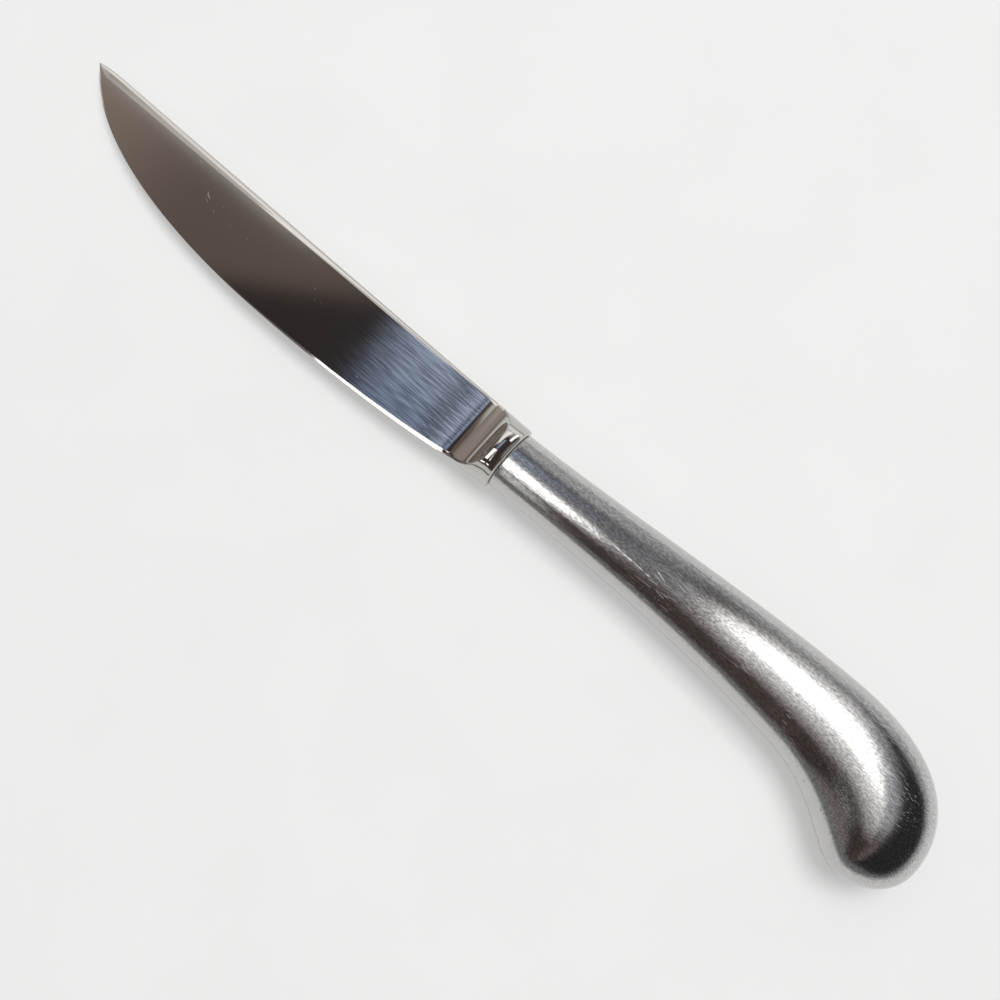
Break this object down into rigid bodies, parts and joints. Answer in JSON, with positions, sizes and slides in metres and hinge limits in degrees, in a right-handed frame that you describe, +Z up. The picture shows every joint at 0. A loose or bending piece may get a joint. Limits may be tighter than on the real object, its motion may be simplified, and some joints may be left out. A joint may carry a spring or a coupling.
{
  "type": "steak knife",
  "caption": "Steak knife: plain straight-spined blade with a curved edge, forged bolster and tang, in a hollow pistol-grip handle of brazed steel half shells.",
  "frame": {"origin": "on the surface the knife lies on, under the middle of its bounding box", "axes": "+X along the spine from the tip to the butt, +Y from the edge towards the spine, +Z up, square to the plane that halves the blade and the handle"},
  "size_m": [0.2352, 0.0308, 0.018],
  "materials": {
    "blade_steel": "polished, with fine grinding marks along the blade near the heel and a mirror-bright bolster",
    "handle_steel": "worn satin polish with fine scratches and pits",
    "braze_metal": "ground flush and polished with the handle",
    "cement": "cast filler, matt"
  },
  "bodies": {
    "root": {"blade": "blade_steel", "handle_shell_left": "handle_steel", "handle_shell_right": "handle_steel", "seam_braze": "braze_metal", "cement_core": "cement"}
  },
  "joints": []
}
